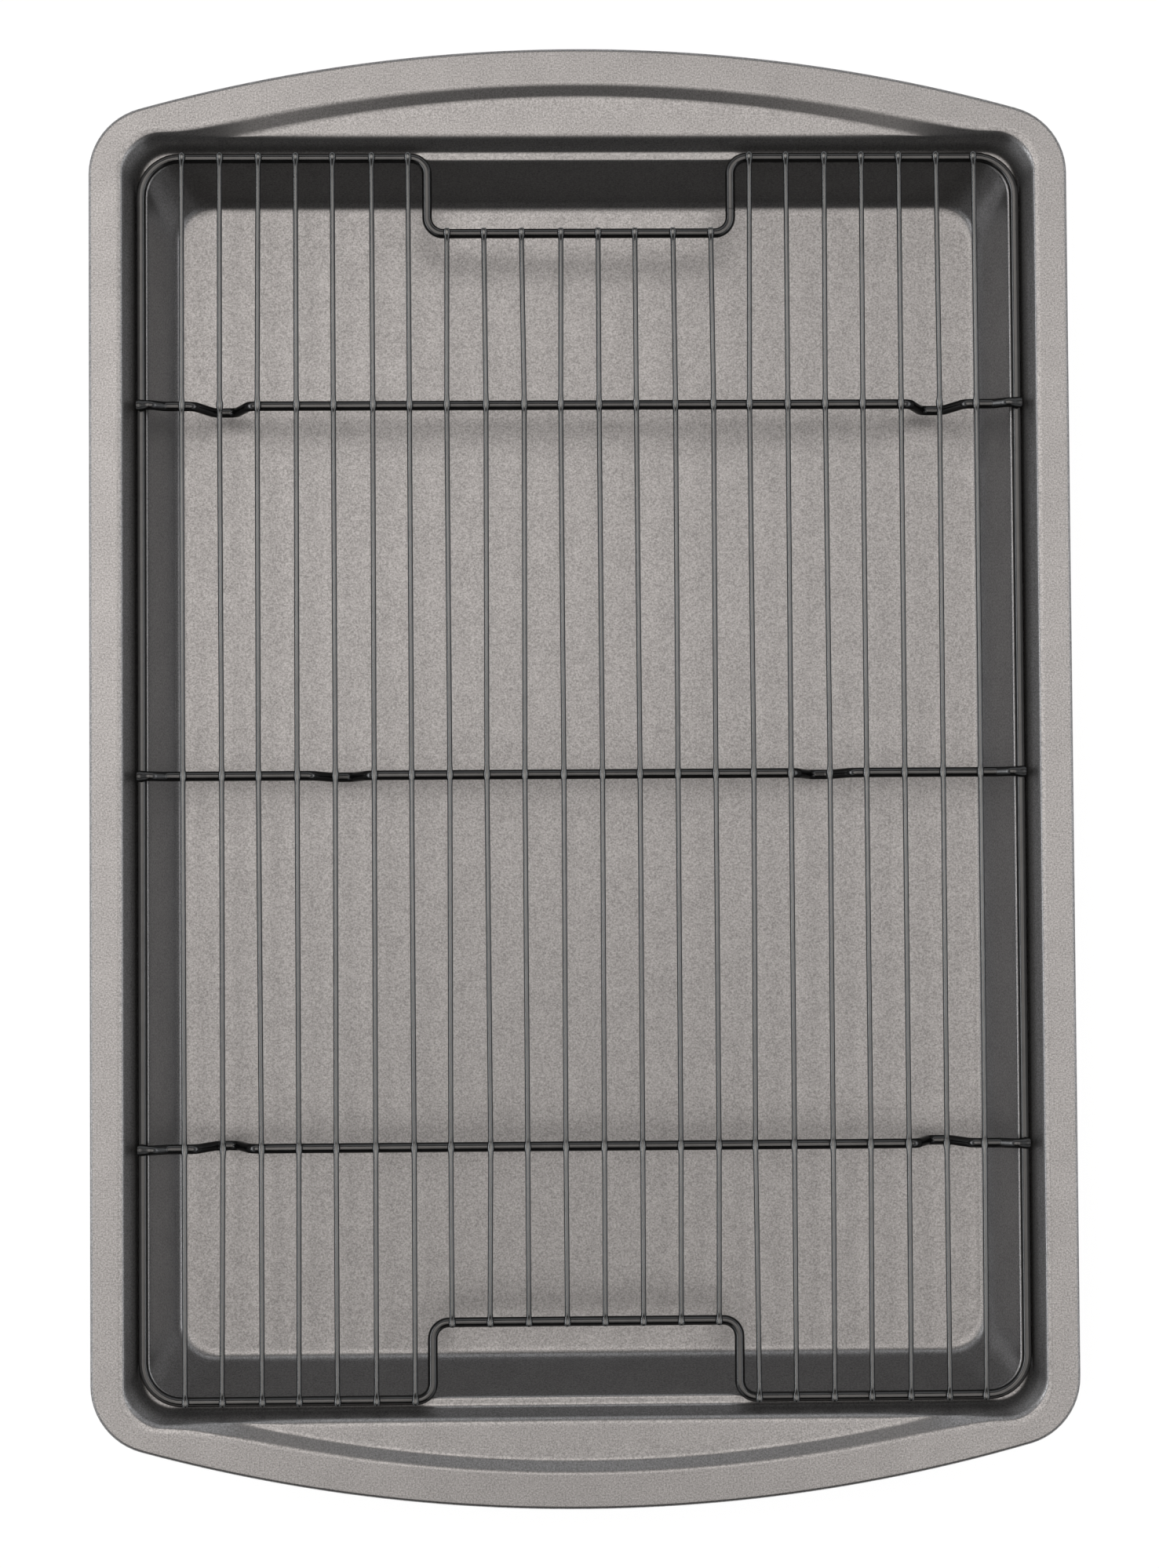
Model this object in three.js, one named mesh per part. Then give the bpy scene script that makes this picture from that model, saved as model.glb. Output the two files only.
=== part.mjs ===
// Shallow stamped-steel baking pan with a wire rack that drops in and rests on a ledge in the pan's wall.
// Millimetres, +Z up. The origin is on the table under the middle of the pan, and +Y runs along its length.
import * as THREE from 'three';

// Sizes of the pan
const SHEET = 0.8; // thickness of the steel sheet
const PAN_HEIGHT = 32; // table to the top of the rim
const WELL_WIDTH = 266.5; // between the ledge's inner edges, across the pan
const WELL_LENGTH = 380.6; // between the ledge's inner edges, along the pan
const SIDE_WALL_RUN = 6.65; // how far a side wall leans in from the ledge down to the floor
const END_WALL_RUN = 9.1; // how far an end wall leans in from the ledge down to the floor
const LEDGE_WIDTH = 2.85; // ledge that carries the rack
const LEDGE_DROP = 7.8; // top of the rim down to the ledge
const RECESS_DROP = 2.6; // top of the rim down to the recess in each handle
const UPPER_WALL_RUN = 3.4; // lean of the wall from the ledge up to the recess's level
const RIM_WALL_RUN = 1; // lean of the wall from the recess's level up to the rim
const RIM_WIDTH = 10; // flat rim along the sides
const RECESS_DEPTH = 12.2; // recess in a handle, from its straight edge to its bowed foot, at the middle
const RECESS_RISE = 0.3; // slope of the recess towards its bowed foot
const STEP_RUN = 3.8; // lean of the bowed step between recess and rim
const HANDLE_BAND = 10.95; // flat band outside the step, at the middle of a handle
const END_RADIUS = 505; // bow of the pan's ends, on the outer edge
const OUTER_CORNER = 21; // corner radii seen from above
const RIM_CORNER = 12;
const LEDGE_CORNER = 11;
const FLOOR_CORNER = 9;
const FLOOR_EASE = 3; // length taken off each side of an edge to round it
const LEDGE_EDGE_EASE = 1;
const LEDGE_ROOT_EASE = 1;
const RIM_EASE = 0.8;
const ROLL_RADIUS = 1.7; // rolled outer edge of the rim

// Sizes of the rack
const FRAME_WIRE = 3; // diameters
const SUPPORT_WIRE = 3;
const GRID_WIRE = 1.6;
const WELD_GAP = 0.3; // room kept between two wires that are welded together
const SEAT_GAP = 0.3; // room kept between the rack and the ledge it rests on
const FRAME_OVERLAP = 1.75; // frame's centre line outside the ledge's inner edge, across the pan
const FRAME_END_OVERLAP = 0.55; // the same, along the pan
const FRAME_CORNER = 12; // bend radii on the wire's centre line
const NOTCH_BEND = 5;
const SUPPORT_BEND = 3;
const NOTCH_WIDTH = 93.8; // finger notch in each end of the frame, between centre lines
const NOTCH_DEPTH = 23.5;
const NOTCH_WIRE_COUNT = 8; // grid wires that end on a notch
const SIDE_WIRE_COUNT = 7; // grid wires on each side of the notch
const GRID_EDGE_GAP = 12.7; // frame's side to the outermost grid wire, between centre lines
const NOTCH_OUTER_GAP = 5.5; // notch's leg to the next grid wire outside it
const NOTCH_INNER_GAP = 6.1; // notch's leg to the next grid wire inside it
const WIRE_END_LAP = 1.3; // how far a welded wire runs past the centre line it is welded on
const SUPPORT_PITCH = 114; // middle support to an outer one
const SUPPORT_RISE_RUN = 4; // length over which a support climbs onto the frame
const SUPPORT_RISE_INSET = 3.2; // end of that climb, inside the frame's centre line
const OUTER_FOOT_INSET = 24.6; // frame's side to the middle of a foot, on the outer supports
const MIDDLE_FOOT_INSET = 60.7; // the same on the middle support
const FOOT_DROP = 14; // level part of a support down to the bottom of its foot
const FOOT_SLOPE = THREE.MathUtils.degToRad(70); // of a foot's two legs
const FOOT_FLAT = 2.6; // straight stretch between the two bends at the bottom of a foot

// Faceting
const EASE_STEPS = 2;
const CORNER_STEPS = 5;
const END_STEPS = 9;
const ROLL_STEPS = 7;
const BEND_STEPS = 4;
const THICK_WIRE_SIDES = 8;
const THIN_WIRE_SIDES = 8;

// Levels and places worked out from the sizes
const rimZ = PAN_HEIGHT;
const ledgeZ = rimZ - LEDGE_DROP;
const recessZ = rimZ - RECESS_DROP;
const rimOffset = LEDGE_WIDTH + UPPER_WALL_RUN + RIM_WALL_RUN;
const recessOffset = LEDGE_WIDTH + UPPER_WALL_RUN;
const halfWidth = WELL_WIDTH / 2 + rimOffset + RIM_WIDTH;
const chordY = WELL_LENGTH / 2 + recessOffset;
const recessApexY = chordY + RECESS_DEPTH;
const stepApexY = recessApexY + STEP_RUN;
const halfLength = stepApexY + HANDLE_BAND;
const bowCentreY = halfLength - END_RADIUS;
const frameHalfX = WELL_WIDTH / 2 + FRAME_OVERLAP;
const frameHalfY = WELL_LENGTH / 2 + FRAME_END_OVERLAP;
const notchX = NOTCH_WIDTH / 2;
const notchY = frameHalfY - NOTCH_DEPTH;
const frameZ = ledgeZ + SEAT_GAP + FRAME_WIRE / 2;
const frameTopZ = frameZ + FRAME_WIRE / 2;
const supportZ = frameTopZ - SUPPORT_WIRE / 2;
const supportEndZ = frameTopZ + WELD_GAP + SUPPORT_WIRE / 2;
const gridZ = frameTopZ + WELD_GAP + GRID_WIRE / 2;

const panCoating = { color: 0xa39c97, roughness: 0.42, metalness: 0.75 };
const rackCoating = { color: 0x2b2b2c, roughness: 0.35, metalness: 0.3 };

function namedMesh(name, geometry, finish) {
  geometry.computeVertexNormals();
  const mesh = new THREE.Mesh(geometry, new THREE.MeshStandardMaterial(finish));
  mesh.name = name;
  return mesh;
}

// Points that round the corner between two straight stretches of a section.
function easedCorner(before, corner, after, ease) {
  const start = corner.clone().add(before.clone().sub(corner).setLength(ease));
  const end = corner.clone().add(after.clone().sub(corner).setLength(ease));
  return new THREE.QuadraticBezierCurve(start, corner, end).getPoints(EASE_STEPS);
}

// Upper face of the pan from the floor up to the ledge: x is the distance outside the ledge's inner edge.
function lowerSection(wallRun) {
  const middle = new THREE.Vector2(-WELL_WIDTH / 2, SHEET);
  const floorEdge = new THREE.Vector2(-wallRun, SHEET);
  const ledgeEdge = new THREE.Vector2(0, ledgeZ);
  const ledgeRoot = new THREE.Vector2(LEDGE_WIDTH, ledgeZ);
  const upperWall = new THREE.Vector2(recessOffset, recessZ);
  return [
    ...easedCorner(middle, floorEdge, ledgeEdge, FLOOR_EASE),
    ...easedCorner(floorEdge, ledgeEdge, ledgeRoot, LEDGE_EDGE_EASE),
    ...easedCorner(ledgeEdge, ledgeRoot, upperWall, LEDGE_ROOT_EASE),
  ];
}

// Distance up the pan of a bowed end at x, for a bow whose middle reaches apexY. All bows share one centre.
function bowY(x, apexY) {
  const radius = apexY - bowCentreY;
  return bowCentreY + Math.sqrt(radius * radius - x * x);
}

// A whole outline from its first quarter, counterclockwise seen from above.
function fourQuarters(quarter) {
  const inner = quarter.slice(1, -1);
  const side = quarter[0];
  const end = quarter[quarter.length - 1];
  const mirror = (p, sx, sy) => new THREE.Vector3(p.x * sx, p.y * sy, p.z);
  return [
    side,
    ...inner,
    end,
    ...inner.toReversed().map((p) => mirror(p, -1, 1)),
    mirror(side, -1, 1),
    ...inner.map((p) => mirror(p, -1, -1)),
    mirror(end, 1, -1),
    ...inner.toReversed().map((p) => mirror(p, 1, -1)),
  ];
}

// Outline with straight sides, round corners and ends that are straight or bow out to apexY in the middle.
function wellRing(halfX, sideZ, halfY, endZ, corner, apexY) {
  const quarter = [new THREE.Vector3(halfX, 0, sideZ)];
  for (let i = 0; i <= CORNER_STEPS; i += 1) {
    const angle = (Math.PI / 2) * (i / CORNER_STEPS);
    const x = halfX - corner + corner * Math.cos(angle);
    const y = halfY - corner + corner * Math.sin(angle);
    quarter.push(new THREE.Vector3(x, y, THREE.MathUtils.lerp(sideZ, endZ, i / CORNER_STEPS)));
  }
  for (let i = 1; i <= END_STEPS; i += 1) {
    const x = (halfX - corner) * (1 - i / END_STEPS);
    const y = apexY ? Math.max(halfY, bowY(x, apexY)) : halfY;
    quarter.push(new THREE.Vector3(x, y, endZ));
  }
  return fourQuarters(quarter);
}

// Outline a given distance inside the pan's outer edge, with bowed ends and round corners that meet the bow.
function outerRing(inset, z) {
  const corner = OUTER_CORNER - inset;
  const radius = END_RADIUS - inset;
  const cornerX = halfWidth - OUTER_CORNER;
  const reach = Math.sqrt((radius - corner) ** 2 - cornerX ** 2);
  const turn = Math.atan2(reach, cornerX);
  const quarter = [new THREE.Vector3(halfWidth - inset, 0, z)];
  for (let i = 0; i <= CORNER_STEPS; i += 1) {
    const angle = turn * (i / CORNER_STEPS);
    const x = cornerX + corner * Math.cos(angle);
    const y = bowCentreY + reach + corner * Math.sin(angle);
    quarter.push(new THREE.Vector3(x, y, z));
  }
  for (let i = 1; i <= END_STEPS; i += 1) {
    const x = radius * Math.cos(turn) * (1 - i / END_STEPS);
    quarter.push(new THREE.Vector3(x, bowY(x, halfLength - inset), z));
  }
  return fourQuarters(quarter);
}

// Upper face of the pan as rings of points, from the edge of the flat floor out to the rim's inner edge.
function upperFace() {
  const side = lowerSection(SIDE_WALL_RUN);
  const end = lowerSection(END_WALL_RUN);
  const floorPoints = EASE_STEPS + 1;
  const halfX = (offset) => WELL_WIDTH / 2 + offset;
  const halfY = (offset) => WELL_LENGTH / 2 + offset;
  const rings = side.map((s, i) => {
    const corner = i < floorPoints ? FLOOR_CORNER : LEDGE_CORNER;
    return wellRing(halfX(s.x), s.y, halfY(end[i].x), end[i].y, corner);
  });
  const addLevel = (offset, z, apexY) => {
    rings.push(wellRing(halfX(offset), z, halfY(offset), z, RIM_CORNER, apexY));
  };
  const wallRatio = RIM_WALL_RUN / RECESS_DROP;
  const stepRatio = STEP_RUN / (RECESS_DROP - RECESS_RISE);
  addLevel(recessOffset, recessZ);
  addLevel(recessOffset + RECESS_RISE * wallRatio, recessZ + RECESS_RISE, recessApexY);
  addLevel(rimOffset - RIM_EASE * wallRatio, rimZ - RIM_EASE, stepApexY - RIM_EASE * stepRatio);
  addLevel(rimOffset + RIM_EASE, rimZ, stepApexY + RIM_EASE);
  return rings;
}

// The rolled edge, from the rim's top round to where it meets the rim's lower face.
function rolledEdge() {
  const lastTurn = 2 * Math.PI - Math.acos(1 - SHEET / ROLL_RADIUS);
  const rings = [];
  for (let i = 0; i <= ROLL_STEPS; i += 1) {
    const turn = lastTurn * (i / ROLL_STEPS);
    const inset = ROLL_RADIUS * (1 - Math.sin(turn));
    rings.push(outerRing(inset, rimZ - ROLL_RADIUS * (1 - Math.cos(turn))));
  }
  return rings;
}

// Lower face of the pan: each point of the upper face moved through the sheet, square to it.
function lowerFace(upper, rolled) {
  const count = upper[0].length;
  return upper.map((ring, i) => ring.map((point, j) => {
    const along = ring[(j + 1) % count].clone().sub(ring[(j + count - 1) % count]);
    const inward = i > 0 ? upper[i - 1][j] : new THREE.Vector3(0, 0, SHEET);
    const outward = i < upper.length - 1 ? upper[i + 1][j] : rolled[0][j];
    const upFromIn = point.clone().sub(inward).cross(along).normalize();
    const upFromOut = outward.clone().sub(point).cross(along).normalize();
    const mitre = upFromIn.clone().add(upFromOut).normalize();
    return point.clone().addScaledVector(mitre, -SHEET / mitre.dot(upFromIn));
  }));
}

// A closed solid from rings of points that follow each other, with a point closing each end.
function ringSolid(rings, firstCentre, lastCentre) {
  const count = rings[0].length;
  const points = [...rings.flat(), firstCentre, lastCentre];
  const first = points.length - 2;
  const last = points.length - 1;
  const lastRing = (rings.length - 1) * count;
  const index = [];
  for (let j = 0; j < count; j += 1) {
    const next = (j + 1) % count;
    index.push(first, j, next);
    index.push(last, lastRing + next, lastRing + j);
    for (let i = 0; i < rings.length - 1; i += 1) {
      const a = i * count + j;
      const b = i * count + next;
      index.push(a, a + count, b);
      index.push(b, a + count, b + count);
    }
  }
  const geometry = new THREE.BufferGeometry().setFromPoints(points);
  geometry.setIndex(index);
  return geometry;
}

function panGeometry() {
  const upper = upperFace();
  const rolled = rolledEdge();
  const lower = lowerFace(upper, rolled).toReversed();
  const middleTop = new THREE.Vector3(0, 0, SHEET);
  const middleBottom = new THREE.Vector3(0, 0, 0);
  return ringSolid([...upper, ...rolled, ...lower], middleTop, middleBottom);
}

// Centre line of a bent wire: straight stretches between corners, each corner bent to its own radius.
function bentLine(corners, closed) {
  const count = corners.length;
  const line = [];
  corners.forEach((corner, i) => {
    if (!closed && (i === 0 || i === count - 1)) {
      line.push(corner.at);
      return;
    }
    const toBefore = corners[(i + count - 1) % count].at.clone().sub(corner.at).normalize();
    const toAfter = corners[(i + 1) % count].at.clone().sub(corner.at).normalize();
    const halfAngle = toBefore.angleTo(toAfter) / 2;
    const towardsCentre = toBefore.clone().add(toAfter).normalize();
    const centre = corner.at.clone().addScaledVector(towardsCentre, corner.bend / Math.sin(halfAngle));
    const start = corner.at.clone().addScaledVector(toBefore, corner.bend / Math.tan(halfAngle));
    const axis = toAfter.clone().cross(toBefore).normalize();
    const turn = Math.PI - 2 * halfAngle;
    for (let k = 0; k <= BEND_STEPS; k += 1) {
      const arm = start.clone().sub(centre).applyAxisAngle(axis, turn * (k / BEND_STEPS));
      line.push(centre.clone().add(arm));
    }
  });
  return line;
}

// A round wire along a flat centre line; normal is square to the plane in which it is bent.
function wireGeometry(line, normal, diameter, sides, closed) {
  const count = line.length;
  const rings = line.map((point, i) => {
    const before = closed || i > 0 ? line[(i + count - 1) % count] : point;
    const after = closed || i < count - 1 ? line[(i + 1) % count] : point;
    const arriving = point.clone().sub(before).normalize();
    const leaving = after.clone().sub(point).normalize();
    const along = arriving.clone().add(leaving).normalize();
    const across = normal.clone().cross(along);
    const stretch = 1 / along.dot(leaving.lengthSq() > 0 ? leaving : arriving);
    const ring = [];
    for (let k = 0; k < sides; k += 1) {
      const angle = 2 * Math.PI * ((k + 0.5) / sides);
      const spot = point.clone();
      spot.addScaledVector(across, (diameter / 2) * Math.cos(angle) * stretch);
      spot.addScaledVector(normal, (diameter / 2) * Math.sin(angle));
      ring.push(spot);
    }
    return ring;
  });
  return closed ? loopSolid(rings) : ringSolid(rings.map((r) => r.toReversed()), line[0], line[count - 1]);
}

// A closed solid from rings that follow each other all the way round a loop.
function loopSolid(rings) {
  const count = rings[0].length;
  const index = [];
  rings.forEach((ring, i) => {
    const nextRing = ((i + 1) % rings.length) * count;
    for (let j = 0; j < count; j += 1) {
      const a = i * count + j;
      const b = i * count + ((j + 1) % count);
      const c = nextRing + j;
      const d = nextRing + ((j + 1) % count);
      index.push(a, b, c);
      index.push(b, d, c);
    }
  });
  const geometry = new THREE.BufferGeometry().setFromPoints(rings.flat());
  geometry.setIndex(index);
  return geometry;
}

// Frame of the rack: one bent wire with a finger notch in the middle of each end.
function frameGeometry() {
  const half = [
    [frameHalfX, frameHalfY, FRAME_CORNER],
    [notchX, frameHalfY, NOTCH_BEND],
    [notchX, notchY, NOTCH_BEND],
    [-notchX, notchY, NOTCH_BEND],
    [-notchX, frameHalfY, NOTCH_BEND],
    [-frameHalfX, frameHalfY, FRAME_CORNER],
  ];
  const corners = [1, -1].flatMap((turn) => half.map(([x, y, bend]) => (
    { at: new THREE.Vector3(turn * x, turn * y, frameZ), bend }
  )));
  const up = new THREE.Vector3(0, 0, 1);
  return wireGeometry(bentLine(corners, true), up, FRAME_WIRE, THICK_WIRE_SIDES, true);
}

// Support wire: level under the grid, bent down into a foot near each end, and climbing onto the frame.
function supportGeometry(y, footInset) {
  const footX = frameHalfX - footInset;
  const riseEnd = frameHalfX - SUPPORT_RISE_INSET;
  const footZ = supportZ - FOOT_DROP;
  const halfBottom = FOOT_FLAT / 2 + SUPPORT_BEND * Math.tan(FOOT_SLOPE / 2);
  const halfTop = halfBottom + FOOT_DROP / Math.tan(FOOT_SLOPE);
  const right = [
    [footX - halfTop, supportZ],
    [footX - halfBottom, footZ],
    [footX + halfBottom, footZ],
    [footX + halfTop, supportZ],
    [riseEnd - SUPPORT_RISE_RUN, supportZ],
    [riseEnd, supportEndZ],
    [frameHalfX + WIRE_END_LAP, supportEndZ],
  ];
  const left = right.toReversed().map(([x, z]) => [-x, z]);
  const corners = [...left, ...right].map(([x, z]) => (
    { at: new THREE.Vector3(x, y, z), bend: SUPPORT_BEND }
  ));
  const across = new THREE.Vector3(0, 1, 0);
  return wireGeometry(bentLine(corners, false), across, SUPPORT_WIRE, THICK_WIRE_SIDES, false);
}

// Places of the grid wires across the rack, left to right, each with the line on which its ends are welded.
function gridPlaces() {
  const between = (from, to, count, y) => Array.from({ length: count }, (_, i) => (
    { x: THREE.MathUtils.lerp(from, to, i / (count - 1)), y }
  ));
  const innerX = notchX - NOTCH_INNER_GAP;
  const right = between(notchX + NOTCH_OUTER_GAP, frameHalfX - GRID_EDGE_GAP, SIDE_WIRE_COUNT, frameHalfY);
  const left = right.toReversed().map(({ x, y }) => ({ x: -x, y }));
  return [...left, ...between(-innerX, innerX, NOTCH_WIRE_COUNT, notchY), ...right];
}

// Grid wire: straight, lying on the supports, and ending on the frame or on its notches.
function gridGeometry(endY) {
  const length = 2 * (endY + WIRE_END_LAP);
  return new THREE.CylinderGeometry(GRID_WIRE / 2, GRID_WIRE / 2, length, THIN_WIRE_SIDES);
}

function makeRack() {
  const rack = new THREE.Group();
  rack.add(namedMesh('rack_frame', frameGeometry(), rackCoating));
  const supports = [
    ['far', SUPPORT_PITCH, OUTER_FOOT_INSET],
    ['middle', 0, MIDDLE_FOOT_INSET],
    ['near', -SUPPORT_PITCH, OUTER_FOOT_INSET],
  ];
  for (const [place, y, footInset] of supports) {
    rack.add(namedMesh(`support_wire_${place}`, supportGeometry(y, footInset), rackCoating));
  }
  gridPlaces().forEach(({ x, y }, i) => {
    const name = `grid_wire_${String(i + 1).padStart(2, '0')}`;
    const wire = namedMesh(name, gridGeometry(y), rackCoating);
    wire.position.set(x, 0, gridZ);
    rack.add(wire);
  });
  return rack;
}

const bakingPan = new THREE.Group();
bakingPan.add(namedMesh('pan', panGeometry(), panCoating));
bakingPan.add(makeRack());

export default bakingPan;
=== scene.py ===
from math import atan2, cos, pi, radians, sin, sqrt, tan
from random import Random

import bmesh
import bpy
from bpy.props import FloatProperty, FloatVectorProperty, PointerProperty
from mathutils import Matrix, Vector


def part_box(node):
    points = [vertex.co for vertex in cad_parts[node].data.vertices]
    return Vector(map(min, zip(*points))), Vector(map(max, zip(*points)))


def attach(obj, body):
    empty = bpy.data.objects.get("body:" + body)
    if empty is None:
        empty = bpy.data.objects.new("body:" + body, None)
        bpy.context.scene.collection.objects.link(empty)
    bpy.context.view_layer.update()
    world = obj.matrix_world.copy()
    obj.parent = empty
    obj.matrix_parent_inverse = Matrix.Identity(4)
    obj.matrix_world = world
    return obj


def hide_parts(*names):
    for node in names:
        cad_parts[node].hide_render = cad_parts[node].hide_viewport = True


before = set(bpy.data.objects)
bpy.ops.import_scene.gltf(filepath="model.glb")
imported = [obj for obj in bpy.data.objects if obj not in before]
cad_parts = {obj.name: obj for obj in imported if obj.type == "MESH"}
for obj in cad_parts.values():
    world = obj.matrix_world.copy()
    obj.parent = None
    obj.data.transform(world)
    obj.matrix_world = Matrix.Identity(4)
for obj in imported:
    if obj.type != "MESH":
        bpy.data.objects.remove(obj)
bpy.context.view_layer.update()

bl_info = {
    "name": "Baking Pan with Rack",
    "version": (1, 0, 0),
    "blender": (4, 5, 0),
    "location": "3D View > Sidebar > Bakeware",
    "description": "A stamped, coated baking pan and the wire rack that lies on its ledge",
    "category": "Add Mesh",
}

MM = 0.001

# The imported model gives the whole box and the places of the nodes.
PAN_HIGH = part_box("pan")[1]
FRAME_LOW, FRAME_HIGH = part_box("rack_frame")
GRID_NODES = sorted(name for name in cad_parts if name.startswith("grid_wire_"))
SUPPORT_NODES = ("support_wire_far", "support_wire_middle", "support_wire_near")


# Fineness of the meshes
EASE_STEPS = 8
SIDE_COLUMNS = 6
CORNER_COLUMNS = 12
END_COLUMNS = 24
HEM_STEPS = 7
RING_STEP = 10 * MM
PAN_SHARP = 40
WIRE_SIDES = 16
WIRE_SHARP = 50
BEND_STEPS = 10
LEAST_BEND_STEPS = 3
STRAIGHT = 0.001
MERGE = 0.01 * MM
RING_REACH = 4 * MM

# Limits of the pan's curves, and how far past them the next ring lies, as shares
EASE_LIMIT = 0.45
FLAT_MARGIN = 0.12
FLOOR_MARGIN = 3
RIM_MARGIN = 2
HEM_MARGIN = 1.3

# A weld: reach along its wire in millimetres, then width, height and sink as shares
WELD_SHAPE = (
    (3.2, 1.0, 1.0, 0.0),
    (1.7, 1.08, 0.97, 0.55),
    (0.8, 1.3, 0.92, 0.95),
    (0.0, 1.4, 0.9, 1.0),
)
# A cross wire's pressed end: reach back in millimetres, width, height, sink in millimetres
PRESSED_END = (
    (0.0, 1.0, 0.7, 0.55),
    (0.8, 1.18, 0.78, 0.5),
    (2.2, 1.1, 0.86, 0.4),
)
# A grid wire's sheared end: width and height as shares
SHEARED_END = (0.8, 0.7)
SHEAR_ROOM = 0.2 * MM
FRAME_LAP = 1.3 * MM
SEAM_REACH = 0.35 * MM
SEAM_SWELL = 1.07

# Soft lights: name, place, point faced and size in metres, and brightness
OVERHEAD_BOXES = (
    ("middle_far", (0, 0.45, 1.6), (0, 0.45, 0), (0.36, 0.9), 1.8),
    ("middle_near", (0, -0.45, 1.6), (0, -0.45, 0), (0.36, 0.9), 0.85),
    ("left_far", (-0.59, 0.45, 1.6), (-0.59, 0.45, 0), (0.82, 0.9), 2.2),
    ("left_near", (-0.59, -0.45, 1.6), (-0.59, -0.45, 0), (0.82, 0.9), 1.7),
    ("right_far", (0.59, 0.45, 1.6), (0.59, 0.45, 0), (0.82, 0.9), 1.65),
    ("right_near", (0.59, -0.45, 1.6), (0.59, -0.45, 0), (0.82, 0.9), 1.6),
)
SIDE_BOXES = (
    ("outer_left", (-1.5, 0, 1.5), (0, 0, 0), (1.2, 1.8), 0.36),
    ("outer_right", (1.5, 0, 1.5), (0, 0, 0), (1.2, 1.8), 0.5),
    ("strip_left", (-1.55, 0, 0.95), (0, 0, 0), (1.8, 0.25), 5.0),
    ("strip_right", (1.55, 0, 0.95), (0, 0, 0), (1.8, 0.25), 2.5),
    ("low_left", (-1.8, 0, 0.6), (0, 0, 0), (1.2, 1.8), 0.27),
    ("low_right", (1.8, 0, 0.6), (0, 0, 0), (1.2, 1.8), 0.25),
    ("far", (0, 1.7, 0.8), (0, 0, 0), (1.8, 1.2), 0.8),
    ("far_left", (-1.3, 1.2, 0.8), (0, 0, 0), (1.2, 1.2), 0.7),
    ("far_right", (1.3, 1.2, 0.8), (0, 0, 0), (1.2, 1.2), 0.7),
    ("near_left", (-1.3, -1.2, 0.8), (0, 0, 0), (1.2, 1.2), 0.5),
    ("near_right", (1.3, -1.2, 0.8), (0, 0, 0), (1.2, 1.2), 0.5),
)

# Stage, with the camera found by fitting the pan's outline in the photograph
TABLE_SIZE = 40
TABLE_GAP = 0.1 * MM
ROOM_LIGHT = 0.01
SENSOR_HEIGHT = 24
NEAREST_SEEN = 0.01
PHOTO_HEIGHT_PIXELS = 1999
CAMERA_FOCAL_PIXELS = 4200
CAMERA_PLACE = (-23.35 * MM, -38.34 * MM, 1038.05 * MM)
CAMERA_TILT = (0.0350, -0.0219, -0.0059)


def middle(node):
    """The middle of a CAD node's box."""
    low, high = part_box(node)
    return (Vector(low) + Vector(high)) / 2


def srgb(code):
    """A colour written as sRGB hex, as linear red, green and blue."""
    parts = [int(code[place:place + 2], 16) / 255 for place in (1, 3, 5)]
    return tuple(p / 12.92 if p <= 0.04045 else ((p + 0.055) / 1.055) ** 2.4 for p in parts)


def length(label, millimetres, words):
    """A size that the sidebar shows in the scene's own units."""
    return FloatProperty(name=label, description=words, default=millimetres * MM, min=0,
                         precision=5, subtype="DISTANCE", unit="LENGTH")


def share(label, default, words):
    """A plain number from nought to one."""
    return FloatProperty(name=label, description=words, default=default, min=0, max=1,
                         subtype="FACTOR")


def colour(label, code, words):
    """A colour of a finish."""
    return FloatVectorProperty(name=label, description=words, default=srgb(code), min=0, max=1,
                               size=3, subtype="COLOR")


# Sizes and finishes

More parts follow.
